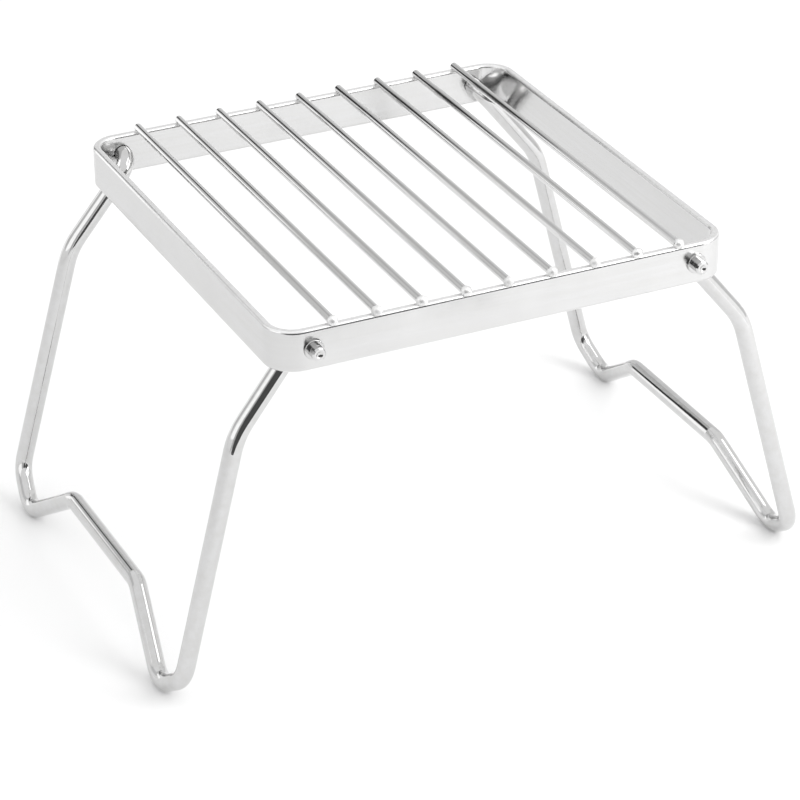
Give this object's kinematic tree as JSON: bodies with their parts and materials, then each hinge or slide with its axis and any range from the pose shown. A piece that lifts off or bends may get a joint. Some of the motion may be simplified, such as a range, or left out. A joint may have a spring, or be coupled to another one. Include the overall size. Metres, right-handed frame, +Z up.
{
  "type": "folding camp grill",
  "caption": "Square band frame with a grate of straight steel rods, standing on two bent-wire legs that fold up underneath.",
  "frame": {"origin": "on the ground, in the middle of the four toes, legs open", "axes": "+X from the left leg to the right leg, +Y from front to back along the rods, +Z up"},
  "size_m": [0.2552, 0.188, 0.1431],
  "materials": {
    "band_steel": "polished flat strip, faint drawing lines",
    "rod_steel": "bright drawn wire",
    "leg_steel": "bright polished wire",
    "washer_steel": "bright stamped washer"
  },
  "bodies": {
    "frame": {"band_frame": "band_steel", "grate_rod_1": "rod_steel", "grate_rod_2": "rod_steel", "grate_rod_3": "rod_steel", "grate_rod_4": "rod_steel", "grate_rod_5": "rod_steel", "grate_rod_6": "rod_steel", "grate_rod_7": "rod_steel", "grate_rod_8": "rod_steel", "grate_rod_9": "rod_steel"},
    "left_leg_body": {"left_leg": "leg_steel", "left_front_washer": "washer_steel", "left_back_washer": "washer_steel"},
    "right_leg_body": {"right_leg": "leg_steel", "right_front_washer": "washer_steel", "right_back_washer": "washer_steel"}
  },
  "joints": [
    {"name": "left_leg_fold", "type": "hinge", "parent": "frame", "child": "left_leg_body", "pos_m": [-0.0732, 0, 0.13301], "axis": [0, -1, 0], "range_deg": [0, 112.5]},
    {"name": "right_leg_fold", "type": "hinge", "parent": "frame", "child": "right_leg_body", "pos_m": [0.0732, 0, 0.13301], "axis": [0, 1, 0], "range_deg": [0, 100]}
  ]
}
